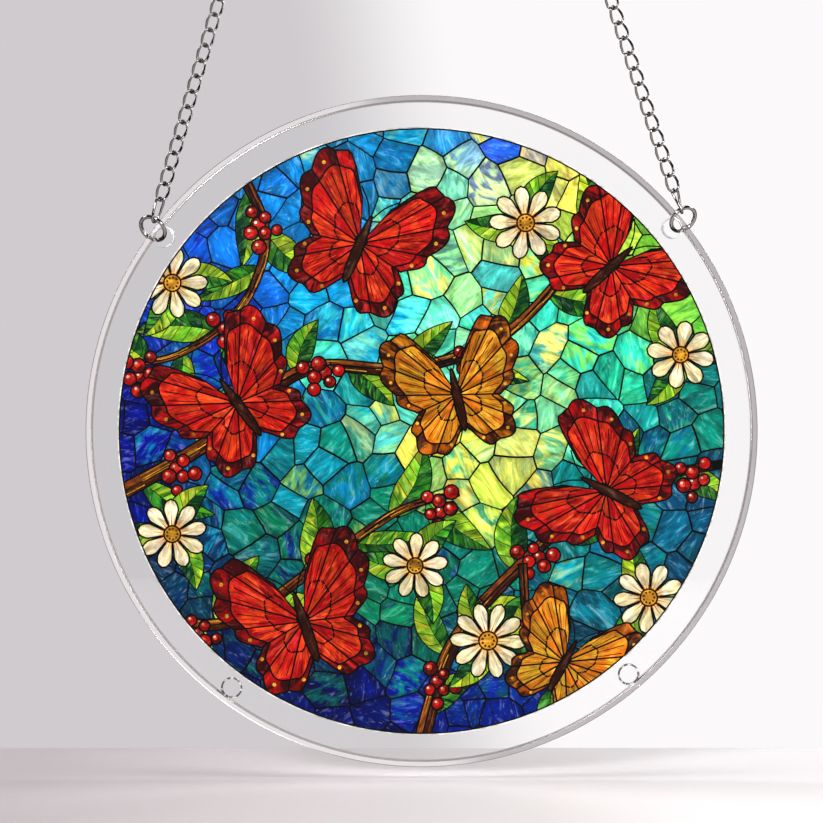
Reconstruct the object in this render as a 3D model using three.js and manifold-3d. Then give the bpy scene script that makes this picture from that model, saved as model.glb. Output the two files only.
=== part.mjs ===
// A round acrylic suncatcher on a fine chain, hung from the middle link of the chain.
// Millimetres, +Z up. The disc stands in the XZ plane and its printed side looks to -Y.
// The origin is where a hook bears, under the upper wire of the hanging link.

import * as THREE from 'three';
import { mergeVertices } from 'three/addons/utils/BufferGeometryUtils.js';
import Module from 'manifold-3d';

const wasm = await Module();
wasm.setup();

// Driving dimensions

const discDiameter = 150;
const discThickness = 2;
const rimBevelWidth = 1.4;
const rimBevelDepth = 0.55;

const clearBorder = 7.2;
const pictureThickness = 0.25;

const ringHoleDiameter = 4;
const ringHoleWeb = 1;
const ringHoleAngle = 52;
const lowerHoleDiameter = 4;
const lowerHoleWeb = 1.7;
const lowerLeftHoleAngle = 37.5;
const lowerRightHoleAngle = 39.4;

const jumpRingDiameter = 7;
const jumpRingWire = 0.9;

const linkLength = 4.75;
const linkWidth = 3.1;
const linkWire = 0.6;
const linkTwist = 45;
const linksPerRun = 52;
const longLinkLength = 6.2;
const endLinkTwistLeft = 70;
const endLinkTwistRight = 95;

// Clearances and contacts: between hooked wires, between a jump ring and the disc,
// from the middle of a hole out to the middle of the ring's wire, and how far links press together

const hookClearance = 0.12;
const ringClearance = 0.1;
const ringHoleOffset = 0.1;
const linkBite = 0.03;

// How finely round shapes are faceted

const discFacets = 64;
const holeFacets = 20;
const ringFacets = 24;
const ringWireFacets = 6;
const linkFacets = 8;
const hangingLinkFacets = 16;
const linkWireFacets = 4;

// Values worked out from the driving dimensions

const degrees = THREE.MathUtils.degToRad;
const discRadius = discDiameter / 2;
const pictureRadius = discRadius - clearBorder;
const ringHoleReach = discRadius - ringHoleWeb - ringHoleDiameter / 2;
const lowerHoleReach = discRadius - lowerHoleWeb - lowerHoleDiameter / 2;
const ringRadius = (jumpRingDiameter - jumpRingWire) / 2;
const ringReach = ringHoleReach + ringHoleOffset + ringRadius;
const linkBend = (linkWidth - linkWire) / 2;
const linkPitch = linkLength - 2 * linkWire + linkBite;
const runLength = linksPerRun * linkPitch + longLinkLength - linkWire;
const hangingLinkHeight = -(linkWidth / 2 - linkWire);

// Materials

const clearAcrylic = new THREE.MeshStandardMaterial({
  color: 0xeef2f4, roughness: 0.05, metalness: 0, transparent: true, opacity: 0.35,
});
const printedFilm = new THREE.MeshStandardMaterial({ color: 0x1f6f9a, roughness: 0.2, metalness: 0 });
const polishedSteel = new THREE.MeshStandardMaterial({ color: 0x8f8b86, roughness: 0.2, metalness: 1 });

// Solids: closed meshes in and out of the library that joins and cuts them

function toSolid(geometry) {
  const bare = geometry.clone();
  bare.deleteAttribute('normal');
  bare.deleteAttribute('uv');
  const merged = mergeVertices(bare, 1e-4);
  return new wasm.Manifold(new wasm.Mesh({
    numProp: 3,
    vertProperties: new Float32Array(merged.attributes.position.array),
    triVerts: new Uint32Array(merged.index.array),
  }));
}

function toGeometry(solid) {
  const mesh = solid.getMesh();
  const geometry = new THREE.BufferGeometry();
  geometry.setAttribute('position', new THREE.BufferAttribute(mesh.vertProperties, 3));
  geometry.setIndex(new THREE.BufferAttribute(mesh.triVerts, 1));
  geometry.computeVertexNormals();
  return geometry;
}

// The clear disc: turned about Y, with a bevel round both faces and four drilled holes

function discBlank() {
  const half = discThickness / 2;
  const shoulder = discRadius - rimBevelWidth;
  const profile = [
    new THREE.Vector2(0, -half),
    new THREE.Vector2(shoulder, -half),
    new THREE.Vector2(discRadius, -half + rimBevelDepth),
    new THREE.Vector2(discRadius, half - rimBevelDepth),
    new THREE.Vector2(shoulder, half),
    new THREE.Vector2(0, half),
  ];
  return new THREE.LatheGeometry(profile, discFacets);
}

// A drill through the disc at x and z shares of its reach from the centre
function drill(diameter, reach, x, z) {
  const tool = new THREE.CylinderGeometry(diameter / 2, diameter / 2, discThickness * 2, holeFacets);
  tool.translate(reach * x, 0, reach * z);
  return toSolid(tool);
}

function discGeometry() {
  const upper = degrees(ringHoleAngle);
  const left = degrees(lowerLeftHoleAngle);
  const right = degrees(lowerRightHoleAngle);
  const drills = [
    drill(ringHoleDiameter, ringHoleReach, -Math.sin(upper), Math.cos(upper)),
    drill(ringHoleDiameter, ringHoleReach, Math.sin(upper), Math.cos(upper)),
    drill(lowerHoleDiameter, lowerHoleReach, -Math.sin(left), -Math.cos(left)),
    drill(lowerHoleDiameter, lowerHoleReach, Math.sin(right), -Math.cos(right)),
  ];
  let disc = toSolid(discBlank());
  for (const tool of drills) {
    disc = disc.subtract(tool);
  }
  return toGeometry(disc);
}

// The printed film: a thin disc stuck on the front face

function pictureGeometry() {
  const back = -discThickness / 2;
  const front = back - pictureThickness;
  const profile = [
    new THREE.Vector2(0, front),
    new THREE.Vector2(pictureRadius, front),
    new THREE.Vector2(pictureRadius, back),
    new THREE.Vector2(0, back),
  ];
  return new THREE.LatheGeometry(profile, discFacets);
}

// The jump ring stands tilted about the line from the disc's centre through its hole.
// It leans as flat to the disc as the web between hole and rim lets it.

// The room between the disc and the middle of the ring's wire, at a turn round the ring
function wireRoom(tilt, turn) {
  const out = ringReach + ringRadius * Math.cos(turn);
  const across = ringRadius * Math.sin(turn) * Math.cos(tilt);
  const depth = Math.abs(ringRadius * Math.sin(turn) * Math.sin(tilt));
  const beyondRim = Math.hypot(out, across) - discRadius;
  const beyondFace = depth - discThickness / 2;
  const insideHole = ringHoleDiameter / 2 - Math.hypot(out - ringHoleReach, across);
  const beyondBevel = ((beyondRim + rimBevelWidth) * rimBevelDepth + beyondFace * rimBevelWidth)
    / Math.hypot(rimBevelDepth, rimBevelWidth);
  const beyondEdges = Math.hypot(
    Math.max(beyondRim, 0), Math.max(beyondFace, 0), Math.max(insideHole, 0));
  return Math.max(beyondEdges, beyondBevel);
}

function leastRingTilt() {
  const room = jumpRingWire / 2 + ringClearance;
  const turns = Array.from({ length: 180 }, (unused, i) => degrees(i * 2));
  for (let tilt = 1; tilt < 90; tilt += 0.5) {
    if (turns.every((turn) => wireRoom(degrees(tilt), turn) > room)) {
      return degrees(tilt);
    }
  }
  return degrees(90);
}

// Where each side hangs, side being -1 at the left and 1 at the right.
// A run pulls straight, from the bend of the hanging link through the middle of the jump ring.

const topHold = linkWire + hookClearance;
const ringHold = (jumpRingWire + linkWire) / 2 + hookClearance;
const bendToRing = runLength + linkBend - topHold - ringHold;
const jumpRingTilt = leastRingTilt();

function hang(side) {
  const angle = degrees(ringHoleAngle);
  const outward = new THREE.Vector3(side * Math.sin(angle), 0, Math.cos(angle));
  const across = new THREE.Vector3(-side * Math.cos(angle), 0, Math.sin(angle))
    .multiplyScalar(Math.cos(jumpRingTilt))
    .add(new THREE.Vector3(0, -Math.sin(jumpRingTilt), 0));
  const bend = new THREE.Vector3(side * (longLinkLength - linkWidth) / 2, 0, hangingLinkHeight);
  const wire = new THREE.Vector3();
  let lean = 0;
  let drop = bendToRing;
  for (let pass = 0; pass < 12; pass += 1) {
    const turn = Math.atan2(
      Math.sin(angle + lean), Math.cos(angle + lean) * Math.cos(jumpRingTilt));
    wire.set(0, 0, 0)
      .addScaledVector(outward, ringRadius * Math.cos(turn))
      .addScaledVector(across, ringRadius * Math.sin(turn));
    const spread = Math.abs(outward.x * ringReach + wire.x - bend.x);
    drop = Math.sqrt(bendToRing ** 2 - spread ** 2 - wire.y ** 2);
    lean = Math.atan2(spread, drop);
  }
  const discHeight = bend.z - drop - wire.z - outward.z * ringReach;
  const ringCentre = outward.clone().multiplyScalar(ringReach);
  ringCentre.z += discHeight;
  const upward = bend.clone().sub(ringCentre).sub(wire).normalize();
  const top = bend.clone().addScaledVector(upward, topHold - linkBend);
  return { outward, across, ringCentre, upward, top, discHeight };
}

function jumpRing(name, place) {
  const normal = place.outward.clone().cross(place.across);
  const geometry = new THREE.TorusGeometry(
    ringRadius, jumpRingWire / 2, ringWireFacets, ringFacets);
  const ring = new THREE.Mesh(geometry, polishedSteel);
  ring.name = name;
  ring.position.copy(place.ringCentre);
  ring.quaternion.setFromRotationMatrix(
    new THREE.Matrix4().makeBasis(place.outward, place.across, normal));
  return ring;
}

// One chain link along X: a wire ring drawn out by its straight sides, then twisted about X.
// Its facets lie flat at the ends and sides, so the link keeps its true length and width.

function linkGeometry(length, facets, twistLow, twistHigh) {
  const straightHalf = (length - linkWidth) / 2;
  const endReach = (length - linkWire) / 2;
  const halfFacet = Math.PI / facets;
  const link = new THREE.TorusGeometry(linkBend, linkWire / 2, linkWireFacets, facets);
  link.scale(1 / Math.cos(halfFacet), 1 / Math.cos(halfFacet), 1);
  link.rotateZ(halfFacet);
  const position = link.attributes.position;
  const point = new THREE.Vector3();
  const axis = new THREE.Vector3(1, 0, 0);
  for (let i = 0; i < position.count; i += 1) {
    point.fromBufferAttribute(position, i);
    point.x += Math.sign(point.x) * straightHalf;
    const share = THREE.MathUtils.clamp((point.x + endReach) / (2 * endReach), 0, 1);
    point.applyAxisAngle(axis, degrees(THREE.MathUtils.lerp(twistLow, twistHigh, share)));
    position.setXYZ(i, point.x, point.y, point.z);
  }
  return link;
}

// A run of links, each hooked in the next and pressed into it by the bite.
// It turns a little at every link, so that its top link hooks squarely in the hanging link.
// The lowest link is a long one, and its lower end turns square to the jump ring.

function chainRun(name, place, endTwist) {
  const back = new THREE.Vector3(0, 1, 0);
  back.addScaledVector(place.upward, -back.dot(place.upward)).normalize();
  const sideways = back.clone().cross(place.upward);
  const alongRun = new THREE.Matrix4().makeBasis(place.upward, sideways, back);
  const placeLink = (geometry, length, fromTop) => {
    const centre = place.top.clone()
      .addScaledVector(place.upward, -fromTop - (length - linkWire) / 2);
    return toSolid(geometry.applyMatrix4(alongRun.clone().setPosition(centre)));
  };
  let run = placeLink(
    linkGeometry(longLinkLength, linkFacets, endTwist, linkTwist),
    longLinkLength, linksPerRun * linkPitch);
  for (let i = linksPerRun - 1; i >= 0; i -= 1) {
    const turn = (90 - linkTwist) * (1 - i / linksPerRun);
    const link = linkGeometry(linkLength, linkFacets, turn - linkTwist, turn + linkTwist);
    run = run.add(placeLink(link, linkLength, i * linkPitch));
  }
  const mesh = new THREE.Mesh(toGeometry(run), polishedSteel);
  mesh.name = name;
  return mesh;
}

// The hanging link lies level, with one long side above the other

function hangingLink() {
  const geometry = linkGeometry(longLinkLength, hangingLinkFacets, 0, 0);
  geometry.rotateX(degrees(90));
  const link = new THREE.Mesh(geometry, polishedSteel);
  link.name = 'hanging_link';
  link.position.z = hangingLinkHeight;
  return link;
}

// The whole suncatcher

const left = hang(-1);
const right = hang(1);

const disc = new THREE.Mesh(discGeometry(), clearAcrylic);
disc.name = 'acrylic_disc';

const picture = new THREE.Mesh(pictureGeometry(), printedFilm);
picture.name = 'picture';

const plate = new THREE.Group();
plate.position.z = left.discHeight;
plate.add(disc, picture);

const suncatcher = new THREE.Group();
suncatcher.add(
  plate,
  jumpRing('jump_ring_left', left),
  jumpRing('jump_ring_right', right),
  chainRun('chain_left', left, endLinkTwistLeft),
  chainRun('chain_right', right, endLinkTwistRight),
  hangingLink(),
);

export default suncatcher;
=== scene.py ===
import math
import random
from collections import namedtuple

import bmesh
import bpy
from mathutils import Matrix, Vector, kdtree
from mathutils.geometry import delaunay_2d_cdt


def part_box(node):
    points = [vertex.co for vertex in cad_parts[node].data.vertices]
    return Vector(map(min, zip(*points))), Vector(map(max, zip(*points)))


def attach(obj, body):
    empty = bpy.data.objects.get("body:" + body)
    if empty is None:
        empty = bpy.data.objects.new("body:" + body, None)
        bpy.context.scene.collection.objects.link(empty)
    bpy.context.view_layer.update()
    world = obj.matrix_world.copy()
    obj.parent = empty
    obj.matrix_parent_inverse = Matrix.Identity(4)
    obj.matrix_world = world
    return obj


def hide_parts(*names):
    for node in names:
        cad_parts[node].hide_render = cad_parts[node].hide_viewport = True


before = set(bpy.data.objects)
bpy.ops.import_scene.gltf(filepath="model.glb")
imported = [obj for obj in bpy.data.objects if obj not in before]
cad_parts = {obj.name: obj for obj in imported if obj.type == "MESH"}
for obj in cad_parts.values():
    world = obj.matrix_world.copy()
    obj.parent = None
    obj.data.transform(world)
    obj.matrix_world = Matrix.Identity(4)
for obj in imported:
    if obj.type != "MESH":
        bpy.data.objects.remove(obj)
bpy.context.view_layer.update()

bl_info = {
    "name": "Acrylic suncatcher",
    "version": (1, 0, 0),
    "blender": (4, 5, 0),
    "location": "View3D > Sidebar > Suncatcher",
    "description": "Builds a printed acrylic suncatcher on its chain around the packed frame",
    "category": "Add Mesh",
}

MM = 0.001
DISC_LOW, DISC_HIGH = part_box("acrylic_disc")
DISC_CENTRE = (DISC_LOW + DISC_HIGH) / 2
DISC_RADIUS = (DISC_HIGH.x - DISC_LOW.x) / 2 / MM
DISC_THICKNESS = (DISC_HIGH.y - DISC_LOW.y) / MM
FILM_LOW, FILM_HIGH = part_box("picture")
FILM_RADIUS = (FILM_HIGH.x - FILM_LOW.x) / 2 / MM
SIDES = {"left": -1, "right": 1}
RIM_STEPS = 192
HOLE_STEPS = 64
LINK_STEPS = 24
LINK_WIRE_STEPS = 8
RING_STEPS = 72
RING_WIRE_STEPS = 16
FILM_STEPS = 256


def colour(code):
    """A hex sRGB colour such as 1A2B3C as linear red, green and blue."""
    parts = [int(code[i:i + 2], 16) / 255 for i in (0, 2, 4)]
    return [p / 12.92 if p <= 0.04045 else ((p + 0.055) / 1.055) ** 2.4 for p in parts]


def shade(code, name, description):
    """A colour that a user can change."""
    return bpy.props.FloatVectorProperty(
        name=name, description=description, size=3, min=0.0, max=1.0,
        subtype="COLOR", default=colour(code))


def millimetres(value, name, description):
    """A length that a user can change; the camera unit shows a plain number as millimetres."""
    return bpy.props.FloatProperty(
        name=name, description=description, default=value, min=0.0, unit="CAMERA")


def degrees(value, name, description):
    """An angle that a user can change."""
    return bpy.props.FloatProperty(
        name=name, description=description, default=math.radians(value), subtype="ANGLE")


# Settings that a user can change

class PlateSettings(bpy.types.PropertyGroup):
    bevel_width: millimetres(1.4, "Bevel width", "Width of the rim's bevel on each face")
    bevel_depth: millimetres(0.55, "Bevel depth", "Depth of the rim's bevel on each face")
    edge_round: millimetres(0.2, "Edge round", "Rounding of the bevel's two edges")
    hole: millimetres(4.0, "Hole", "Diameter of the drilled holes")
    hole_chamfer: millimetres(0.38, "Hole chamfer", "Chamfer on the edges of the holes")
    ring_hole_web: millimetres(1.0, "Ring hole web", "Acrylic between a ring hole and the rim")
    lower_hole_web: millimetres(1.7, "Lower hole web", "Acrylic between a lower hole and the rim")
    ring_hole_angle: degrees(52, "Ring hole angle", "Angle of the ring holes from the top")
    lower_left_angle: degrees(37.5, "Lower left angle", "Angle of the left hole from the bottom")
    lower_right_angle: degrees(39.4, "Lower right angle", "Angle of the right hole from the bottom")
    tint: shade("FDFEFE", "Tint", "Colour of the clear sheet")
    # The lower holes' dark tint is painted shade for the dark broken rings that refraction shows in
    # their walls
    painted_hole_shade: shade("3C3836", "Painted hole shade", "Painted shade on the walls of the lower holes")
    # The rim's light grey tint is painted shade for the darker band that the cut rim shows
    rim_shade_tint: shade("EEEBEC", "Rim shade tint", "Painted shade on the cut rim, a little darker than the clear sheet")
    # The rounded edges' grey tint is painted shade for the thin grey lines they show; their roughness
    # is the ground finish
    edge_shade_tint: shade("AAA4A2", "Edge shade tint", "Painted grey shade on the bevel's rounded edges")


class ChainSettings(bpy.types.PropertyGroup):
    wire: millimetres(0.6, "Wire", "Thickness of the chain's wire")
    width: millimetres(3.1, "Link width", "Outer width of a link")
    length: millimetres(4.75, "Link length", "Outer length of a link")
    long_length: millimetres(6.2, "Long link length", "Outer length of the end and hanging links")
    twist: degrees(45, "Twist", "Turn of a link's end from its middle")
    left_end_twist: degrees(70, "Left end twist", "Turn of the left end link at its ring")
    right_end_twist: degrees(95, "Right end twist", "Turn of the right end link at its ring")
    bite: millimetres(0.03, "Bite", "How far neighbouring links press together")
    clearance: millimetres(0.12, "Clearance", "Room between hooked wires")
    links: bpy.props.IntProperty(name="Links", description="Short links in one run", default=52)
    ring: millimetres(7.0, "Ring", "Outer diameter of a jump ring")
    ring_wire: millimetres(0.9, "Ring wire", "Thickness of a jump ring's wire")
    ring_tilt: degrees(45.5, "Ring tilt", "Turn of a jump ring out of the disc's plane")
    ring_slit: millimetres(0.05, "Ring slit", "Width of the joint in a jump ring")
    steel: shade("8A8784", "Steel", "Colour of the chain's steel")
    ring_steel: shade("9C9895", "Ring steel", "Colour of the rings' steel")


class PictureSettings(bpy.types.PropertyGroup):
    lead: millimetres(0.38, "Lead", "Width of the dark lines between the glass shapes")
    white_edge: millimetres(0.24, "White edge", "Width of the white line round the picture")
    edge: millimetres(0.34, "Edge", "Width of the dark line inside the white one")
    cell: millimetres(7.7, "Cell", "Spacing of the background's glass shapes")
    slack: millimetres(0.038, "Slack", "How far an outline may be straightened")
    grid: millimetres(2.1, "Grid", "Spacing of the shading points inside the shapes")
    seed: bpy.props.IntProperty(name="Seed", description="Start of the random draws", default=11)
    lead_tint: shade("0B0E12", "Lead tint", "Colour of the dark lines")
    red: shade("C81E22", "Red", "Main colour of the red butterflies")
    orange: shade("F0602A", "Orange", "Light parts of the red butterflies")
    maroon: shade("5A0C14", "Maroon", "Wing margins of the red butterflies")
    amber: shade("D98A1E", "Amber", "Main colour of the amber butterflies")
    gold: shade("F2BE4A", "Gold", "Light parts of the amber butterflies and flower centres")
    bark: shade("5B2F16", "Bark", "Shaded side of the twigs")
    bark_light: shade("A8652A", "Bark light", "Lit side of the twigs")
    leaf_dark: shade("0C5A36", "Dark leaf", "Shaded half of a leaf")
    leaf_light: shade("5FAE3C", "Light leaf", "Lit half of a leaf")
    petal: shade("EDE0B6", "Petal", "Petals of the daisies")


class StageSettings(bpy.types.PropertyGroup):
    frame_width: millimetres(183.8, "Frame width", "Width of the view at the disc")
    across: millimetres(-2.26, "Across", "Middle of the view beside the disc's centre")
    above: millimetres(4.36, "Above", "Middle of the view above the disc's centre")
    floor_reach: millimetres(62.7, "Floor reach", "Floor behind the disc")
    distance: millimetres(700.0, "Distance", "Camera to the disc")
    floor_gap: millimetres(2.5, "Floor gap", "Room between the disc and the floor")
    wall_left: shade("CFCBCE", "Left tone", "Colour of the surroundings to the left")
    wall_right: shade("FCF9FA", "Right tone", "Colour of the surroundings to the right")
    room: shade("363537", "Room", "Colour of the room that reflections show")
    roll: degrees(1.0, "Roll", "Turn of the camera about its view, so that the piece hangs askew")
    floor_shade_left: shade("B6ADB0", "Floor's shaded left", "Painted shade on the floor to the left")
    floor: shade("E0DBDC", "Floor", "Colour of the floor to the right")


class SuncatcherSettings(bpy.types.PropertyGroup):
    plate: bpy.props.PointerProperty(
        type=PlateSettings, name="Plate", description="The clear disc and its holes")
    chain: bpy.props.PointerProperty(
        type=ChainSettings, name="Chain", description="The chain and the jump rings")
    picture: bpy.props.PointerProperty(
        type=PictureSettings, name="Picture", description="The printed film")
    stage: bpy.props.PointerProperty(
        type=StageSettings, name="Stage", description="The floor, the surroundings and the view")


# Small tools for pieces and nodes

def settings():
    return bpy.context.scene.suncatcher


def deselect():
    if bpy.context.object and bpy.context.object.mode != "OBJECT":
        bpy.ops.object.mode_set(mode="OBJECT")
    bpy.ops.object.select_all(action="DESELECT")


def select_only(piece):
    deselect()
    piece.select_set(True)
    bpy.context.view_layer.objects.active = piece


def settle(piece, name):
    """Names a piece and puts its place into its mesh."""
    select_only(piece)
    piece.name = name
    piece.data.name = name
    bpy.ops.object.transform_apply(location=True, rotation=True, scale=True)
    return piece


def must(made, problem):
    """Stops the script when a step hasn't done its work."""
    if not made:
        raise RuntimeError(problem)


def smooth_by_angle(piece, angle):
    select_only(piece)
    bpy.ops.object.shade_smooth_by_angle(angle=math.radians(angle))


def fill(tree, node, inputs):
    """Fills a node's inputs from numbers, sockets or other nodes."""
    for key, value in inputs.items():
        if isinstance(value, bpy.types.Node):
            value = next(socket for socket in value.outputs if socket.enabled)
        if isinstance(value, bpy.types.NodeSocket):
            tree.links.new(value, node.inputs[key])
        else:
            node.inputs[key].default_value = value


def add_node(tree, kind, inputs=None, **values):
    """Adds a node, sets its values and fills its inputs."""
    node = tree.nodes.new("ShaderNode" + kind)
    for key, value in values.items():
        setattr(node, key, value)
    fill(tree, node, inputs or {})
    return node


def new_material(name, values):
    """A material with one Principled shader set by plain values."""
    material = bpy.data.materials.new(name)
    material.use_nodes = True
    shader = material.node_tree.nodes["Principled BSDF"]
    fill(material.node_tree, shader, values)
    return material, material.node_tree, shader


# Materials

def acrylic(name, tint, roughness, marks=0.0):
    """Clear cast acrylic, its cutter's marks so many millimetres high.

    The sheet is flame-polished: the eye sees only its rim, its holes and soft reflections. On a
    cut rim or hole the marks break up the light. Ground edges and the lower holes' walls are rough
    and bend the light away. A grey tint on the rim or the rounded edges, and a dark one in the
    lower holes, is painted shade for the grey lines and dark broken rings that bent light shows.
    """
    material, tree, shader = new_material(name, {
        "Base Color": (*tint, 1.0), "Roughness": roughness, "IOR": 1.49,
        "Transmission Weight": 1.0})
    if marks:
        point = add_node(tree, "TexCoord").outputs["Object"]
        # The marks are about 1 mm apart along the cut
        noise = add_node(tree, "TexNoise", {"Vector": point, "Scale": 1 / MM, "Detail": 2.0})
        bump = add_node(tree, "Bump", {
            "Height": noise, "Strength": 1.0, "Distance": marks * MM})
        fill(tree, shader, {"Normal": bump})
    return material


def steel(name, tint, low, high):
    """Polished stainless wire: dark reflections, sharp lights, fine drawing marks."""
    material, tree, shader = new_material(name, {"Base Color": (*tint, 1.0), "Metallic": 1.0})
    point = add_node(tree, "TexCoord").outputs["Object"]
    # The marks are about 0.5 mm apart, as coarse as they need to be to show
    marks = add_node(tree, "TexNoise", {
        "Vector": point, "Scale": 1.8 / MM, "Detail": 3.0, "Roughness": 0.6})
    rough = add_node(tree, "MapRange", {"Value": marks, "To Min": low, "To Max": high})
    bump = add_node(tree, "Bump", {"Height": marks, "Strength": 0.15, "Distance": 0.01 * MM})
    fill(tree, shader, {"Roughness": rough, "Normal": bump})
    return material


def printed_glass():
    """Gloss ink on clear film: streaky, mottled colours between near-black printed lead lines."""
    material, tree, shader = new_material("gloss ink on film", {
        "Roughness": 0.3, "IOR": 1.5, "Specular IOR Level": 0.1})
    place = add_node(tree, "TexCoord").outputs["Object"]
    point = add_node(tree, "VectorMath", {0: place, "Scale": 1 / MM}, operation="SCALE")
    tint, other, flow, depth = (
        add_node(tree, "Attribute", attribute_name=name)
        for name in ("tint", "other", "flow", "depth"))
    # A shape's flow holds the way of its streaks in X and Z, and its own lane of noise in Y
    parts = add_node(tree, "SeparateXYZ", {0: flow.outputs["Vector"]}).outputs
    back = add_node(tree, "Math", {0: parts["Z"], 1: -1.0}, operation="MULTIPLY")
    along = add_node(tree, "CombineXYZ", {"X": parts["X"], "Z": parts["Z"]})
    across = add_node(tree, "CombineXYZ", {"X": back, "Z": parts["X"]})
    far = add_node(tree, "VectorMath", {0: point, 1: along}, operation="DOT_PRODUCT")
    wide = add_node(tree, "VectorMath", {0: point, 1: across}, operation="DOT_PRODUCT")
    lane = add_node(tree, "CombineXYZ", {"X": far, "Y": wide, "Z": parts["Y"]})

    def streaks(stretch, detail, twirl):
        mapped = add_node(tree, "Mapping", {"Vector": lane, "Scale": stretch})
        return add_node(tree, "TexNoise", {
            "Vector": mapped, "Scale": 1.0, "Detail": detail, "Roughness": 0.62,
            "Distortion": twirl})

    cloud = streaks((0.12, 0.21, 1.3), 2.0, 1.8)
    broad = streaks((0.16, 0.5, 1.0), 4.0, 1.3)
    fine = streaks((0.55, 1.9, 1.0), 3.0, 0.8)
    # Streaks are about 2 mm apart and flecks about 0.5 mm, as drawn glass shows them. Each row
    # is a value, the range it is taken from and the range it becomes.
    drift, darker, rim_shade, wisp, fleck = (
        add_node(tree, "MapRange", dict(enumerate(row))) for row in (
            (cloud, 0.44, 0.6, 0.0, 0.85),
            (broad, 0.32, 0.64, 0.5, 1.2),
            (depth.outputs["Fac"], 0.0, 0.55, 0.82, 1.08),
            (broad, 0.56, 0.74, 0.0, 0.55),
            (fine, 0.6, 0.72, 0.0, 0.5)))
    body = add_node(tree, "Mix", {0: drift, 6: tint, 7: other}, data_type="RGBA")
    level = add_node(tree, "Math", {0: darker, 1: rim_shade}, operation="MULTIPLY")
    shaded = add_node(tree, "VectorMath", {0: body, "Scale": level}, operation="SCALE")
    light = add_node(tree, "Math", {0: wisp, 1: fleck}, operation="MAXIMUM")
    masked = add_node(tree, "Math", {0: light, 1: tint.outputs["Alpha"]}, operation="MULTIPLY")
    pale = add_node(tree, "Mix", {0: 0.45, 6: body, 7: (1.0, 1.0, 0.9, 1.0)}, data_type="RGBA")
    final = add_node(tree, "Mix", {0: masked, 6: shaded, 7: pale}, data_type="RGBA")
    # Ink on clear film is deep: it darkens and enriches all but the palest tones
    ink = add_node(tree, "Gamma", {"Color": final, "Gamma": 1.42})
    bump = add_node(tree, "Bump", {"Height": fine, "Strength": 0.12, "Distance": 0.03 * MM})
    fill(tree, shader, {"Base Color": ink, "Normal": bump})
    return material


# The clear disc

def hole_places():
    """The four drilled holes, as places from the disc's centre in millimetres."""
    plate = settings().plate
    upper = DISC_RADIUS - plate.ring_hole_web - plate.hole / 2
    lower = DISC_RADIUS - plate.lower_hole_web - plate.hole / 2
    places = []
    for side in SIDES.values():
        angle = plate.ring_hole_angle
        places.append((side * upper * math.sin(angle), upper * math.cos(angle)))
    for side, angle in ((-1, plate.lower_left_angle), (1, plate.lower_right_angle)):
        places.append((side * lower * math.sin(angle), -lower * math.cos(angle)))
    return places


def flare(piece, depth, factor):
    """Draws both ends of a cylinder along Y outwards and makes them wider or narrower."""
    for side in (-1, 1):
        bpy.ops.object.mode_set(mode="EDIT")
        bpy.ops.mesh.select_mode(type="FACE")
        bpy.ops.mesh.select_all(action="DESELECT")
        bpy.ops.object.mode_set(mode="OBJECT")
        for face in piece.data.polygons:
            face.select = face.normal.y * side > 0.9
        bpy.ops.object.mode_set(mode="EDIT")
        bpy.ops.mesh.extrude_region_move(
            TRANSFORM_OT_translate={"value": (0, side * depth * MM, 0)})
        bpy.ops.transform.resize(value=(factor, 1, factor))


def disc_blank():
    """A round plate, its two faces drawn in to bevels whose edges are rounded."""
    plate = settings().plate
    straight = (DISC_THICKNESS - 2 * plate.bevel_depth) * MM
    bpy.ops.mesh.primitive_cylinder_add(
        vertices=RIM_STEPS, radius=DISC_RADIUS * MM, depth=straight, location=DISC_CENTRE,
        rotation=(math.radians(90), 0, 0))
    disc = bpy.context.object
    bpy.ops.object.transform_apply(location=False, rotation=True, scale=False)
    flare(disc, plate.bevel_depth, 1 - plate.bevel_width / DISC_RADIUS)
    bpy.ops.mesh.select_mode(type="EDGE")
    bpy.ops.mesh.select_all(action="DESELECT")
    bpy.ops.mesh.edges_select_sharp(sharpness=math.radians(15))
    bpy.ops.mesh.bevel(offset=plate.edge_round * MM, segments=3, affect="EDGES")
    bpy.ops.object.mode_set(mode="OBJECT")
    return disc


def drill(disc, x, z):
    """Cuts one round hole through the disc, its two edges broken by a small chamfer."""
    plate = settings().plate
    spot = DISC_CENTRE + Vector((x, 0, z)) * MM
    straight = (DISC_THICKNESS - 2 * plate.hole_chamfer) * MM
    run_out = 1.0
    reach = plate.hole_chamfer + run_out
    bpy.ops.mesh.primitive_cylinder_add(
        vertices=HOLE_STEPS, radius=plate.hole / 2 * MM, depth=straight, location=spot,
        rotation=(math.radians(90), 0, 0))
    bit = bpy.context.object
    bpy.ops.object.transform_apply(location=False, rotation=True, scale=False)
    flare(bit, reach, 1 + 2 * reach / plate.hole)
    bpy.ops.object.mode_set(mode="OBJECT")
    select_only(disc)
    faces = len(disc.data.polygons)
    cut = disc.modifiers.new("drill", "BOOLEAN")
    cut.operation = "DIFFERENCE"
    cut.solver = "EXACT"
    cut.object = bit
    bpy.ops.object.modifier_apply(modifier="drill")
    bpy.data.objects.remove(bit)
    must(len(disc.data.polygons) > faces, "A hole wasn't cut into the disc")


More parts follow.
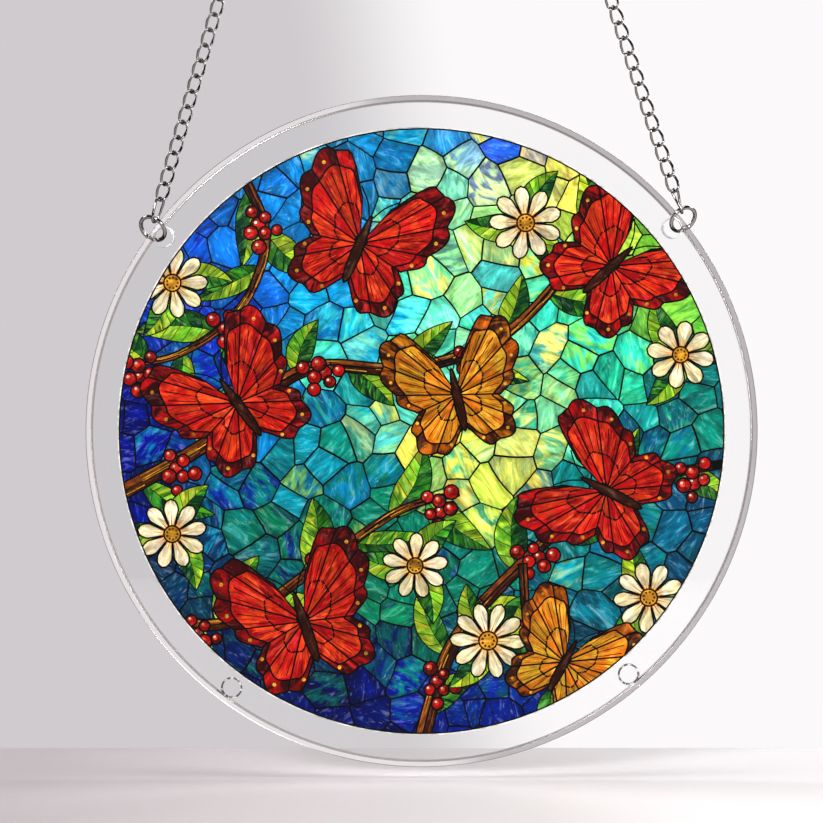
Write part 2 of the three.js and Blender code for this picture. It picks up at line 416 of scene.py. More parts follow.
class SUNCATCHER_OT_plate(bpy.types.Operator):
    """Makes the clear disc with its bevelled rim and its drilled holes"""
    bl_idname = "suncatcher.plate"
    bl_label = "Clear disc"

    def execute(self, context):
        deselect()
        disc = disc_blank()
        for x, z in hole_places():
            drill(disc, x, z)
        settle(disc, "clear_disc")
        smooth_by_angle(disc, 25)
        plate = settings().plate
        disc.data.materials.clear()
        for finish in (("clear cast acrylic", plate.tint, 0.015),
                       ("polished acrylic rim with painted shade", plate.rim_shade_tint, 0.02, 0.004),
                       ("drilled acrylic hole", plate.tint, 0.1, 0.25),
                       ("ground acrylic edge with painted shade", plate.edge_shade_tint, 0.12),
                       ("lower acrylic hole with painted shade", plate.painted_hole_shade, 0.12)):
            disc.data.materials.append(acrylic(*finish))
        holes = [DISC_CENTRE + Vector((x, 0, z)) * MM for x, z in hole_places()]
        reach = (plate.hole / 2 + plate.hole_chamfer + 0.1) * MM
        slope = math.cos(math.atan(plate.bevel_depth / plate.bevel_width))
        for face in disc.data.polygons:
            hole = min(holes, key=lambda spot: (face.center - spot).xz.length)
            aside = (face.center - hole).xz
            tilt = abs(face.normal.y)
            if tilt > 0.999:
                face.use_smooth = False
                face.material_index = 0
            elif aside.length < reach:
                turn = math.atan2(aside.y, aside.x)
                # The painted shade in the lower holes stands for the dark broken rings that refraction
                # shows there. It is broken up along the ring by two waves
                in_painted_shade = math.sin(7 * turn + 1) + math.sin(11 * turn) > -0.4
                face.material_index = 4 if in_painted_shade and hole.z < DISC_CENTRE.z else 2
            else:
                # The rim and the bevel's slopes take the rim's grey tint, and the rounded edges take
                # the grey edge tint: both are painted shade
                face.material_index = 1 if tilt < 0.02 or abs(tilt - slope) < 0.01 else 3
        disc.visible_shadow = False
        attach(disc, "root")
        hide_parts("acrylic_disc")
        return {"FINISHED"}


# The metal: jump rings, chain runs and the hanging link

def bend_radius():
    chain = settings().chain
    return (chain.width - chain.wire) / 2


def link_mesh(length, twist_low, twist_high):
    """One link along X: a ring of wire drawn out by its straight sides and twisted."""
    chain = settings().chain
    straight = (length - chain.width) / 2 * MM
    reach = (length - chain.wire) / 2 * MM
    deselect()
    bpy.ops.mesh.primitive_torus_add(
        major_radius=bend_radius() * MM, minor_radius=chain.wire / 2 * MM,
        major_segments=LINK_STEPS, minor_segments=LINK_WIRE_STEPS)
    link = bpy.context.object
    for vertex in link.data.vertices:
        x, y, z = vertex.co
        pull = max(-1.0, min(1.0, x / (0.15 * MM)))
        x += straight * pull
        share = max(0.0, min(1.0, (x + reach) / (2 * reach)))
        angle = twist_low + (twist_high - twist_low) * share
        vertex.co = Matrix.Rotation(angle, 3, "X") @ Vector((x, y, z))
    mesh = link.data.copy()
    bpy.data.objects.remove(link)
    return mesh


def ring_places(side):
    """The jump ring's centre and its two directions, outwards and across."""
    chain = settings().chain
    angle = settings().plate.ring_hole_angle
    low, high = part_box("jump_ring_left" if side < 0 else "jump_ring_right")
    outward = Vector((side * math.sin(angle), 0, math.cos(angle)))
    across = Vector((-side * math.cos(angle), 0, math.sin(angle))) * math.cos(chain.ring_tilt)
    across += Vector((0, -math.sin(chain.ring_tilt), 0))
    return (low + high) / 2, outward, across


def run_places(side):
    """The top of a chain run and its direction upwards, from ring to hanging link."""
    chain = settings().chain
    angle = settings().plate.ring_hole_angle
    centre, outward, across = ring_places(side)
    radius = (chain.ring - chain.ring_wire) / 2 * MM
    bend = Vector((side * (chain.long_length - chain.width) / 2, 0,
                   chain.wire - chain.width / 2)) * MM
    lean = 0.0
    for _ in range(12):
        turn = math.atan2(
            math.sin(angle + lean), math.cos(angle + lean) * math.cos(chain.ring_tilt))
        wire = centre + (outward * math.cos(turn) + across * math.sin(turn)) * radius
        lean = math.atan2(abs(wire.x - bend.x), bend.z - wire.z)
    upward = (bend - wire).normalized()
    top = bend + upward * (chain.wire + chain.clearance - bend_radius()) * MM
    return top, upward


def frame_matrix(x_axis, y_axis, z_axis, place):
    turn = Matrix((x_axis, y_axis, z_axis)).transposed()
    return Matrix.Translation(place) @ turn.to_4x4()


def mesh_piece(name, parts):
    """One piece from (mesh, matrix) parts."""
    joined = bmesh.new()
    for mesh, matrix in parts:
        copy = mesh.copy()
        copy.transform(matrix)
        joined.from_mesh(copy)
        bpy.data.meshes.remove(copy)
    mesh = bpy.data.meshes.new(name)
    joined.to_mesh(mesh)
    joined.free()
    piece = bpy.data.objects.new(name, mesh)
    bpy.context.scene.collection.objects.link(piece)
    for face in mesh.polygons:
        face.use_smooth = True
    return piece


def chain_run(name, side, end_twist):
    """A run of twisted links with a long end link at its ring."""
    chain = settings().chain
    pitch = (chain.length - 2 * chain.wire + chain.bite) * MM
    top, upward = run_places(side)
    back = Vector((0, 1, 0))
    back = (back - upward * back.dot(upward)).normalized()
    sideways = back.cross(upward)
    short_link = link_mesh(chain.length, -chain.twist, chain.twist)
    end_link = link_mesh(chain.long_length, end_twist, chain.twist)
    parts = []
    for i in range(chain.links):
        drop = i * pitch + (chain.length - chain.wire) / 2 * MM
        turn = (math.radians(90) - chain.twist) * (1 - i / chain.links)
        place = frame_matrix(upward, sideways, back, top - upward * drop)
        parts.append((short_link, place @ Matrix.Rotation(turn, 4, "X")))
    drop = chain.links * pitch + (chain.long_length - chain.wire) / 2 * MM
    parts.append((end_link, frame_matrix(upward, sideways, back, top - upward * drop)))
    return mesh_piece(name, parts)


def jump_ring(name, side):
    """A bent wire ring, its two cut ends nearly meeting in a fine slit."""
    chain = settings().chain
    radius = (chain.ring - chain.ring_wire) / 2
    slit = chain.ring_slit / radius
    deselect()
    bpy.ops.mesh.primitive_circle_add(
        vertices=RING_WIRE_STEPS, radius=chain.ring_wire / 2 * MM,
        location=(radius * MM, 0, 0), rotation=(math.radians(90), 0, 0))
    ring = bpy.context.object
    bpy.ops.object.transform_apply(location=True, rotation=True, scale=True)
    bpy.ops.object.mode_set(mode="EDIT")
    bpy.ops.mesh.select_all(action="SELECT")
    bpy.ops.mesh.spin(
        steps=RING_STEPS, angle=2 * math.pi - slit, center=(0, 0, 0), axis=(0, 0, 1))
    bpy.ops.mesh.select_all(action="SELECT")
    bpy.ops.mesh.fill_holes(sides=0)
    bpy.ops.mesh.select_all(action="SELECT")
    bpy.ops.mesh.normals_make_consistent(inside=False)
    bpy.ops.object.mode_set(mode="OBJECT")
    must(len(ring.data.polygons) > RING_STEPS, "The wire wasn't bent round into a jump ring")
    centre, outward, across = ring_places(side)
    # The slit faces away from the chain and from the hole
    slit_turn = Matrix.Rotation(math.radians(-62), 4, "Z")
    ring.data.transform(
        frame_matrix(outward, across, outward.cross(across), centre) @ slit_turn)
    settle(ring, name)
    smooth_by_angle(ring, 40)
    return ring


class SUNCATCHER_OT_rings(bpy.types.Operator):
    """Makes the jump rings that join the chain to the disc"""
    bl_idname = "suncatcher.rings"
    bl_label = "Jump rings"

    def execute(self, context):
        finish = steel("polished ring steel", settings().chain.ring_steel, 0.03, 0.08)
        for word, side in SIDES.items():
            ring = jump_ring(f"ring_{word}", side)
            ring.data.materials.append(finish)
            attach(ring, "root")
            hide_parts(f"jump_ring_{word}")
        return {"FINISHED"}


class SUNCATCHER_OT_chain(bpy.types.Operator):
    """Makes the two runs of chain and the hanging link between them"""
    bl_idname = "suncatcher.chain"
    bl_label = "Chain"

    def execute(self, context):
        chain = settings().chain
        finish = steel("polished chain steel", chain.steel, 0.03, 0.09)
        twists = {"left": chain.left_end_twist, "right": chain.right_end_twist}
        pieces = [(chain_run(f"links_{word}", side, twists[word]), f"chain_{word}")
                  for word, side in SIDES.items()]
        middle = Matrix.Translation((0, 0, (chain.wire - chain.width / 2) * MM))
        level = middle @ Matrix.Rotation(math.radians(90), 4, "X")
        link = mesh_piece("middle_link", [(link_mesh(chain.long_length, 0.0, 0.0), level)])
        pieces.append((link, "hanging_link"))
        for piece, node in pieces:
            must(piece.data.polygons, f"No links were made for {node}")
            piece.data.materials.append(finish)
            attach(piece, "root")
            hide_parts(node)
        return {"FINISHED"}


# The picture: flat shapes of coloured glass in dark lines, in millimetres from the disc's centre

def area(points):
    return sum(a[0] * b[1] - b[0] * a[1] for a, b in zip(points, points[1:] + points[:1])) / 2


def middle(points):
    return (sum(p[0] for p in points) / len(points), sum(p[1] for p in points) / len(points))


def offset(points, distance):
    """Moves an outline inwards by a distance, or outwards if it is negative."""
    if area(points) < 0:
        points = points[::-1]
    points = [Vector(a) for a, b in zip(points, points[1:] + points[:1]) if math.dist(a, b) > 0.02]
    moved = []
    for before, here, after in zip(points[-1:] + points[:-1], points, points[1:] + points[:1]):
        a = (here - before).normalized()
        b = (after - here).normalized()
        normal = Vector((-a.y - b.y, a.x + b.x)).normalized()
        reach = distance / max(0.5, normal.dot(Vector((-a.y, a.x))))
        moved.append(here + normal * reach)
    # Sides that have turned round are closed up, which can turn others, so it is done thrice
    for _ in range(3):
        for i, here in enumerate(points):
            j = (i + 1) % len(points)
            if (moved[j] - moved[i]).dot(points[j] - here) < 0:
                moved[i] = moved[j] = (moved[i] + moved[j]) / 2
    return [(a.x, a.y) for a, b in zip(moved, moved[1:] + moved[:1]) if (b - a).length > 0.01]


def resample(points, step):
    """Adds points so that no side of an outline is longer than a step."""
    dense = []
    for a, b in zip(points, points[1:] + points[:1]):
        count = max(1, math.ceil(math.dist(a, b) / step))
        dense += [(a[0] + (b[0] - a[0]) * i / count, a[1] + (b[1] - a[1]) * i / count)
                  for i in range(count)]
    return dense


def thin_line(line, slack):
    """Drops a line's points that lie nearly on a straight way, and its last point."""
    a, b = line[0], line[-1]
    length = max(math.dist(a, b), 1e-9)
    spans = [abs((b[0] - a[0]) * (a[1] - p[1]) - (a[0] - p[0]) * (b[1] - a[1])) / length
             for p in line[1:-1]]
    if not spans or max(spans) < slack:
        return [a]
    split = spans.index(max(spans)) + 1
    return thin_line(line[:split + 1], slack) + thin_line(line[split:], slack)


def thin(points, slack):
    """Drops an outline's points that lie nearly on a straight way."""
    far = max(range(1, len(points)), key=lambda i: math.dist(points[0], points[i]))
    return thin_line(points[:far + 1], slack) + thin_line(points[far:] + points[:1], slack)


def circle(x, y, radius, count):
    """A round outline."""
    return [(x + radius * math.cos(a), y + radius * math.sin(a))
            for a in (2 * math.pi * i / count for i in range(count))]


def place(points, x, y, turn, size=1.0, flip=1):
    """Mirrors, sizes, turns and moves an outline."""
    c, s = math.cos(turn) * size, math.sin(turn) * size
    return [(x + flip * px * c - py * s, y + flip * px * s + py * c) for px, py in points]


def curve(points, steps):
    """A smooth line through points."""
    line = []
    padded = [points[0]] + list(points) + [points[-1]]
    for i in range(len(points) - 1):
        p0, p1, p2, p3 = padded[i:i + 4]
        for k in range(steps):
            t = k / steps
            line.append(tuple(
                0.5 * (2 * b + (c - a) * t + (2 * a - 5 * b + 4 * c - d) * t * t
                       + (3 * b - a - 3 * c + d) * t ** 3)
                for a, b, c, d in zip(p0, p1, p2, p3)))
    return line + [points[-1]]


def band(line, low, high):
    """An outline along a line, from one offset to another to its left; offsets are functions."""
    left, right = [], []
    for i, here in enumerate(line):
        before, after = line[max(0, i - 1)], line[min(len(line) - 1, i + 1)]
        way = Vector((after[0] - before[0], after[1] - before[1])).normalized()
        share = i / (len(line) - 1)
        left.append((here[0] - way.y * high(share), here[1] + way.x * high(share)))
        right.append((here[0] - way.y * low(share), here[1] + way.x * low(share)))
    return right + left[::-1]


Shape = namedtuple("Shape", "outline tint other angle seed")


class Picture:
    """Collects the shapes of the picture, the lowest first."""

    def __init__(self, look):
        self.look = look
        self.draw = random.Random(look.seed)
        self.shapes = []

    def vary(self, tint, spread):
        """A colour a little lighter or darker, and a little to one side."""
        jitter = 1 + self.draw.uniform(-spread, spread)
        return [min(1.0, c * jitter * (1 + self.draw.uniform(-spread, spread) / 2)) for c in tint]

    def add(self, points, tint, flow=None, glass=1.0, spread=0.12, other=None):
        tone = self.vary(tint, spread)
        second = self.vary(other or [c * 0.55 for c in tint], spread)
        angle = self.draw.uniform(0, math.pi) if flow is None else flow
        points = points if area(points) > 0 else points[::-1]
        self.shapes.append(Shape(
            thin(points, self.look.slack), (*tone, glass), (*second, 1.0), angle,
            self.draw.uniform(0, 50)))

    def lead(self, points):
        """A dark shape under the glass of a figure, a lead's width wider than it."""
        self.add(offset(points, -self.look.lead / 2), self.look.lead_tint, glass=0.0, spread=0.0)

    def glass(self, points, tint, flow=None, spread=0.12, other=None):
        """A figure's glass shape, drawn in by half a lead's width all round."""
        inner = offset(thin(points, self.look.slack), self.look.lead / 2)
        if len(inner) > 2 and area(inner) > 0.15:
            self.add(inner, tint, flow, 0.4, spread, other)


# The background's pools of colour: place and width in millimetres, and colour
POOLS = (
    (8, 50, 13, "CDF0AA"), (2, 22, 15, "7FDCC6"), (14, 0, 13, "E4E88A"), (30, 52, 12, "F2EA8C"),
    (48, 34, 14, "9AD06A"), (-30, 40, 15, "1C98CE"), (-6, 62, 12, "1496BE"), (-48, 26, 14, "0E55BE"),
    (-60, -4, 14, "0A348F"), (-34, 4, 14, "0E9ABE"), (-52, -34, 14, "07506F"), (-24, -24, 14, "16957E"),
    (-22, -58, 14, "082C70"), (8, -34, 13, "128C78"), (14, -60, 13, "0A429A"), (42, -50, 14, "086478"),
    (58, -20, 13, "0A6F8E"), (60, 8, 12, "0E8C88"), (36, 12, 13, "5CCBB4"), (38, -22, 12, "129A9C"),
    (20, 64, 9, "1460C4"),
)


def pool_colour(x, y, draw):
    """The background's colour at a place, with a little of the pools around it."""
    x += draw.uniform(-9, 9)
    y += draw.uniform(-9, 9)
    total = 0.0
    mixed = [0.0, 0.0, 0.0]
    for px, py, width, code in POOLS:
        weight = math.exp(-((x - px) ** 2 + (y - py) ** 2) / (2 * (width * 0.62) ** 2)) + 1e-9
        total += weight
        mixed = [m + weight * c for m, c in zip(mixed, colour(code))]
    grey = sum(mixed) / total / 3
    # Blending dulls the colours, so they are moved away from grey again
    return [max(0.0, grey + (m / total - grey) * 1.22) for m in mixed]


def clip(points, centre, other, gap):
    """Keeps the part of a shape that is nearer to its centre than to another one, less a gap."""
    nx, ny = other[0] - centre[0], other[1] - centre[1]
    limit = nx * (centre[0] + other[0]) / 2 + ny * (centre[1] + other[1]) / 2
    limit -= gap * math.hypot(nx, ny)
    kept = []
    for a, b in zip(points, points[1:] + points[:1]):
        da = a[0] * nx + a[1] * ny - limit
        db = b[0] * nx + b[1] * ny - limit
        if da <= 0:
            kept.append(a)
        if da * db < 0:
            t = da / (da - db)
            kept.append((a[0] + (b[0] - a[0]) * t, a[1] + (b[1] - a[1]) * t))
    return kept


def cell_shapes(draw, spacing, radius, gap):
    """Irregular cells that fill a round area, evened out, each drawn in by a gap."""
    rows = math.ceil(radius / spacing / 0.87) + 3
    seeds = []
    for row in range(-rows, rows + 1):
        for column in range(-rows, rows + 1):
            x = (column + 0.5 * (row % 2)) * spacing + draw.uniform(-0.7, 0.7) * spacing
            y = row * spacing * 0.87 + draw.uniform(-0.7, 0.7) * spacing
            seeds.append((x, y))
    for _ in range(2):
        cells = []
        for seed in seeds:
            size = spacing * 2
            cell = [(seed[0] + sx * size, seed[1] + sy * size)
                    for sx, sy in ((-1, -1), (1, -1), (1, 1), (-1, 1))]
            near = sorted(seeds, key=lambda other: math.dist(other, seed))[1:14]
            for other in near:
                cell = clip(cell, seed, other, gap)
            cells.append(cell)
        seeds = [middle(cell) if cell else seed for cell, seed in zip(cells, seeds)]
    return [cell for cell in cells
            if len(cell) > 2 and math.hypot(*middle(cell)) < radius + spacing * 0.6]


def sway(point):
    """Bends the background's straight lines a little."""
    x, y = point
    return (x + 0.9 * math.sin(y / 4.3 + 1) + 0.5 * math.sin(x / 3.1),
            y + 0.9 * math.sin(x / 4.7) + 0.5 * math.cos(y / 3.3))


def background(picture):
    look = picture.look
    for cell in cell_shapes(picture.draw, look.cell, FILM_RADIUS, look.lead / 2):
        bent = [sway(point) for point in resample(cell, 1.6)]
        x, y = middle(bent)
        tint = pool_colour(x, y, picture.draw)
        other = pool_colour(x + picture.draw.uniform(-18, 18), y + picture.draw.uniform(-18, 18),
                            picture.draw)
        picture.add(bent, tint, spread=0.3, other=other)


def twig(picture, points, thick, slim):
    """A twig: a dark side and a lit side, in pieces, with fine strokes of bark."""
    look = picture.look
    line = curve(points, 12)
    width = lambda share: thick + (slim - thick) * share
    strokes = []
    picture.lead(band(line, lambda s: -width(s), width))
    for _ in range(len(line)):
        # Bark strokes are added after the twig's own pieces, so they are kept for later
        spot = picture.draw.uniform(0.03, 0.9)
        strokes.append((int(spot * (len(line) - 5)), picture.draw.uniform(-0.75, 0.75),
                        picture.draw.choice((look.gold, look.bark_light, look.lead_tint))))
    # Nine steps of the line make one piece
    step = 9
    for start in range(0, len(line) - step, step):
        stretch = line[start:start + step + 1]
        base = start / len(line)
        local = lambda share: width(base + share * step / len(line))
        way = math.atan2(stretch[-1][1] - stretch[0][1], stretch[-1][0] - stretch[0][0])
        picture.glass(band(stretch, lambda s: -local(s), lambda s: local(s) * 0.1),
                      look.bark, way)
        picture.glass(band(stretch, lambda s: local(s) * 0.1, local), look.bark_light, way)
    for start, side, tint in strokes:
        aside = side * width(start / len(line))
        stretch = line[start:start + 4]
        picture.add(band(stretch, lambda s: aside - 0.09, lambda s: aside + 0.09), tint,
                    0.0, 0.2, 0.2)


def leaf(picture, x, y, turn, length, wide, bend=0.1):
    """A pointed leaf: a midrib, a dark and a light half, and slanting veins."""
    look = picture.look
    rib = [(length * s, length * bend * math.sin(math.pi * s))
           for s in (i / 16 for i in range(17))]
    swell = lambda s: wide / 2 * math.sin(math.pi * min(1.0, max(0.0, s)) ** 0.8) ** 0.85
    outline = band(rib, lambda s: -swell(s), swell)
    picture.lead(place(outline, x, y, turn))
    fresh = picture.draw.uniform(0, 1)
    pale = colour("C9D94A")
    light = [a + (b - a) * fresh * 0.5 for a, b in zip(look.leaf_light, pale)]
    cuts = (0.0, 0.17, 0.31, 0.45, 0.59, 0.74, 1.0)
    for side in (-1, 1):
        tint, fresh_tone = (look.leaf_dark, look.leaf_light) if side < 0 else (light, pale)
        for low, high in zip(cuts, cuts[1:]):
            inner = [low + (high - low) * i / 5 for i in range(6)]
            slant = lambda s: min(1.0, s + 0.14 * math.sin(math.pi * s))
            cell = [rib_point(length, bend, s, 0.0) for s in inner]
            cell += [rib_point(length, bend, slant(s), side * swell(slant(s))) for s in inner[::-1]]
            shape = place(cell, x, y, turn)
            inset = offset(shape, look.lead * 0.2)
            if len(inset) > 2 and abs(area(inset)) > 0.12:
                picture.add(inset, tint, turn + side * 0.7, 0.7, 0.3, fresh_tone)


def rib_point(length, bend, share, aside):
    """A point beside a leaf's midrib."""
    slope = math.atan(bend * math.pi * math.cos(math.pi * share))
    return (length * share - aside * math.sin(slope),
            length * bend * math.sin(math.pi * share) + aside * math.cos(slope))


def daisy(picture, x, y, size, petals, turn):
    """A daisy: rounded petals round a golden middle with seed dots."""
    look = picture.look
    broad = size * 1.9 / petals
    petal = [(size * (0.2 + 0.8 * s), broad * petal_width(s)) for s in (i / 14 for i in range(15))]
    outline = petal + [(px, -py) for px, py in petal[-2:0:-1]]
    for pass_offset in (0, 1):
        for i in range(pass_offset, petals, 2):
            angle = turn + 2 * math.pi * i / petals
            shape = place(outline, x, y, angle)
            picture.lead(shape)
            picture.glass(shape, look.petal, angle, 0.05, colour("FCF3D8"))
            for lean, long in ((-0.2, 0.5), (0.0, 0.66), (0.2, 0.5)):
                crease = place([(size * 0.22, -0.16), (size * long, 0.0), (size * 0.22, 0.16)],
                               x, y, angle + lean)
                picture.add(crease, look.gold, angle, spread=0.1, other=look.amber)
    heart = circle(x, y, size * 0.24, 18)
    picture.lead(heart)
    picture.glass(heart, look.gold, 0.0)
    for seed_x, seed_y in circle(x, y, size * 0.15, 9):
        dot(picture, seed_x, seed_y, size * 0.035, colour("8A4A12"))


def petal_width(share):
    """A petal's half width along it: a narrow foot, then a round end."""
    if share < 0.6:
        return 0.3 + 0.7 * share / 0.6
    return math.sqrt(max(0.0, 1 - ((share - 0.6) / 0.4) ** 2))


def dot(picture, x, y, radius, tint):
    picture.add(circle(x, y, radius, 8), tint, 0.0, glass=0.3, spread=0.05)


def bud(picture, x, y, radius):
    """A round red bud with a small light on it."""
    ring = circle(x, y, radius, 13)
    picture.lead(ring)
    picture.glass(ring, picture.look.red, 0.8, other=picture.look.maroon)
    dot(picture, x - radius * 0.18, y + radius * 0.2, radius * 0.42, picture.look.orange)
    dot(picture, x - radius * 0.28, y + radius * 0.32, radius * 0.2, colour("FFE9E0"))


def polar(table, angle):
    """A smooth radius at an angle, from a few (angle, radius) pairs in degrees."""
    for (a0, r0), (a1, r1) in zip(table, table[1:]):
        if a0 <= angle <= a1:
            share = (angle - a0) / (a1 - a0)
            return r0 + (r1 - r0) * (3 * share ** 2 - 2 * share ** 3)
    return table[0][1] if angle < table[0][0] else table[-1][1]


FORE_WING = ((-12, 8.5), (8, 11.5), (30, 15.0), (48, 17.0), (60, 15.5), (70, 8.0))
HIND_WING = ((-84, 7.0), (-66, 11.5), (-46, 12.8), (-28, 11.0), (-12, 8.0))


def wing_part(table, low, high, inner, outer):
    """A wing's cell between two veins, from one share of the wing's reach to another."""
    steps = 9
    angles = [low + (high - low) * i / steps for i in range(steps + 1)]
    near = [(polar(table, a) * inner * math.cos(math.radians(a)),
             polar(table, a) * inner * math.sin(math.radians(a))) for a in angles]
    far = []
    for i, a in enumerate(angles):
        reach = polar(table, a) * outer
        if outer == 1.0:
            reach *= 1 + 0.045 * math.sin(math.pi * i / steps)
        far.append((reach * math.cos(math.radians(a)), reach * math.sin(math.radians(a))))
    return far + near[::-1]


def butterfly(picture, x, y, turn, size, tones):
    """A butterfly seen from above: veined wings with a dark margin, a body and feelers."""
    main, light, margin = tones
    wings = ((HIND_WING, (-84, -58, -34, -12)), (FORE_WING, (-12, 12, 34, 52, 70)))
    for table, veins in wings:
        for flip in (-1, 1):
            for low, high in zip(veins, veins[1:]):
                sector = wing_part(table, low, high, 0.05, 1.0)
                picture.lead(place(sector, x, y, turn, size, flip))
            for number, (low, high) in enumerate(zip(veins, veins[1:])):
                way = turn + flip * math.radians((low + high) / 2) + (math.pi if flip < 0 else 0)
                for part, (inner, outer, tint, other) in enumerate((
                        (0.08, 0.44, light, main), (0.44, 0.84, main, light),
                        (0.84, 1.0, margin, main))):
                    cell = wing_part(table, low, high, inner, outer)
                    toned = main if part == 0 and number % 2 else tint
                    picture.glass(place(cell, x, y, turn, size, flip), toned, way, 0.25, other)
                for k in range(1, 5):
                    stroke = low + (high - low) * k / 5
                    fine = wing_part(table, stroke - 0.5, stroke + 0.5, 0.36 + 0.05 * (k % 2), 0.78)
                    picture.add(place(fine, x, y, turn, size, flip), (light, margin)[k % 2],
                                way, 0.3, 0.2)
                if high > 60:
                    continue
                spot = math.radians((low + high) / 2)
                reach = polar(table, math.degrees(spot)) * 0.92
                sx, sy = place([(reach * math.cos(spot), reach * math.sin(spot))],
                               x, y, turn, size, flip)[0]
                dot(picture, sx, sy, 0.34 * size, picture.look.gold)
    body = [(0.85 * x * (1 - 0.25 * y), -1.0 + 6.2 * y) for x, y in circle(0, 0, 1, 20)]
    picture.lead(place(body, x, y, turn, size))
    picture.glass(place(body, x, y, turn, size), picture.look.bark, turn + 1.57)
    for flip in (-1, 1):
        feeler = curve([(0.3, 4.8), (1.6, 7.2), (3.6, 9.2)], 6)
        picture.add(place(band(feeler, lambda s: -0.13, lambda s: 0.13), x, y, turn, size, flip),
                    picture.look.lead_tint, glass=0.0, spread=0.0)


def draw_twigs(picture):
    """The vines that cross the picture, with leaves and buds along them."""
    vines = (
        (((-70, -14), (-48, -2), (-26, 14), (-2, 14), (20, 22), (40, 44), (52, 62)), 1.75, 0.8),
        (((-2, -72), (6, -48), (22, -30), (42, -14), (70, -8)), 1.8, 0.9),
        (((-66, -40), (-44, -42), (-24, -30), (-6, -18), (8, -14)), 1.5, 0.6),
        (((-40, 60), (-34, 44), (-40, 28), (-54, 18), (-68, 16)), 1.15, 0.6),
        (((22, -30), (24, -50), (34, -66)), 1.0, 0.6),
    )
    for points, thick, slim in vines:
        line = curve(points, 12)
        for number, i in enumerate(range(5, len(line) - 4, 6)):
            x, y = line[i]
            way = math.atan2(line[i + 1][1] - y, line[i + 1][0] - x)
            side = 1 if number % 2 else -1
            swing = picture.draw.uniform(0.5, 0.95)
            leaf(picture, x, y, way + side * swing, picture.draw.uniform(12.5, 18),
                 picture.draw.uniform(5.6, 7.8), picture.draw.uniform(-0.12, 0.12))
        twig(picture, points, thick, slim)
        for i in range(9, len(line) - 4, 17):
            x, y = line[i]
            for k in range(7):
                angle = k * 2.4 + i
                away = 1.0 + 0.6 * k
                bud(picture, x + away * math.cos(angle), y + away * math.sin(angle) - 2.2,
                    picture.draw.uniform(1.25, 1.7))


def draw_flowers(picture):
    daisies = (
        (-55, 34, 8.0, 9), (24, 46, 8.2, 9), (58, 16, 7.6, 8), (-56, -22, 7.8, 9),
        (14, -47, 8.6, 10), (-2, -30, 7.4, 9), (50, -38, 8.0, 9),
    )
    for number, (x, y, size, petals) in enumerate(daisies):
        for k in range(3):
            leaf(picture, x, y, number + k * 2.1, 13.5, 6.2)
        daisy(picture, x, y, size, petals, 0.3 * number)


def draw_butterflies(picture):
    look = picture.look
    red = (look.red, look.orange, look.maroon)
    amber = (look.amber, look.gold, look.bark)
    flight = (
        (-41, 7, 35, 1.25, red), (-13, 42, -24, 1.3, red), (43, 36, -48, 1.2, red),
        (41, -14, 62, 1.22, red), (-27, -42, 18, 1.32, red),
        (8, 8, 12, 1.15, amber), (31, -52, -30, 1.04, amber),
    )
    for x, y, turn, size, tones in flight:
        butterfly(picture, x, y, math.radians(turn), size, tones)


def rim_shapes(look):
    """The film's white edge, its dark line and the dark ground under all the glass shapes."""
    opening = FILM_RADIUS - look.white_edge - look.edge
    rims = [circle(0, 0, radius, FILM_STEPS)
            for radius in (FILM_RADIUS, FILM_RADIUS - look.white_edge, opening)]
    dark = (*look.lead_tint, 0.0)
    white = (*colour("F4F2EE"), 0.0)
    return [Shape(rim, tint, tint, 0.0, 0.0) for rim, tint in zip(rims, (white, dark, dark))]


def partition(shapes, grid):
    """Cuts the round area into triangles, each with the number of the topmost shape over it."""
    points, faces = [], []
    for shape in shapes:
        start = len(points)
        points += [Vector(p) for p in shape.outline]
        faces.append(list(range(start, len(points))))
    opening = shapes[2].outline[0][0]
    rows = math.ceil(opening / grid / 0.866)
    for row in range(-rows, rows + 1):
        for column in range(-rows, rows + 1):
            p = Vector(((column + 0.5 * (row % 2)) * grid, row * grid * 0.866))
            if p.length < opening - 0.3:
                points.append(p)
    flat, _, triangles, _, _, sources = delaunay_2d_cdt(points, [], faces, 1, 1e-4, True)
    # An outline that crosses itself claims far more than its own area, so it is left out
    claimed = [0.0] * len(shapes)
    for triangle, ids in zip(triangles, sources):
        size = area([flat[index] for index in triangle])
        for number in ids:
            claimed[number] += size
    sound = {number for number, shape in enumerate(shapes)
             if claimed[number] < 1.5 * area(shape.outline) + 0.3}
    kept, tops = [], []
    for triangle, ids in zip(triangles, sources):
        if 0 in ids:
            kept.append(triangle)
            tops.append(max(n for n in ids if n in sound and (2 in ids or n < 2)))
    return flat, kept, tops


def line_distances(flat, triangles, tops, reach):
    """Each point's distance from the nearest line between shapes, as a share of a reach."""
    sides = {}
    for triangle, top in zip(triangles, tops):
        for pair in zip(triangle, triangle[1:] + triangle[:1]):
            sides.setdefault(tuple(sorted(pair)), set()).add(top)
    marks = []
    for (a, b), ids in sides.items():
        if len(ids) > 1:
            count = max(1, math.ceil((flat[a] - flat[b]).length / 0.6))
            marks += [flat[a].lerp(flat[b], i / count) for i in range(count + 1)]
    tree = kdtree.KDTree(len(marks))
    for number, mark in enumerate(marks):
        tree.insert((mark.x, mark.y, 0), number)
    tree.balance()
    return [min(1.0, tree.find((p.x, p.y, 0))[2] / reach) for p in flat]


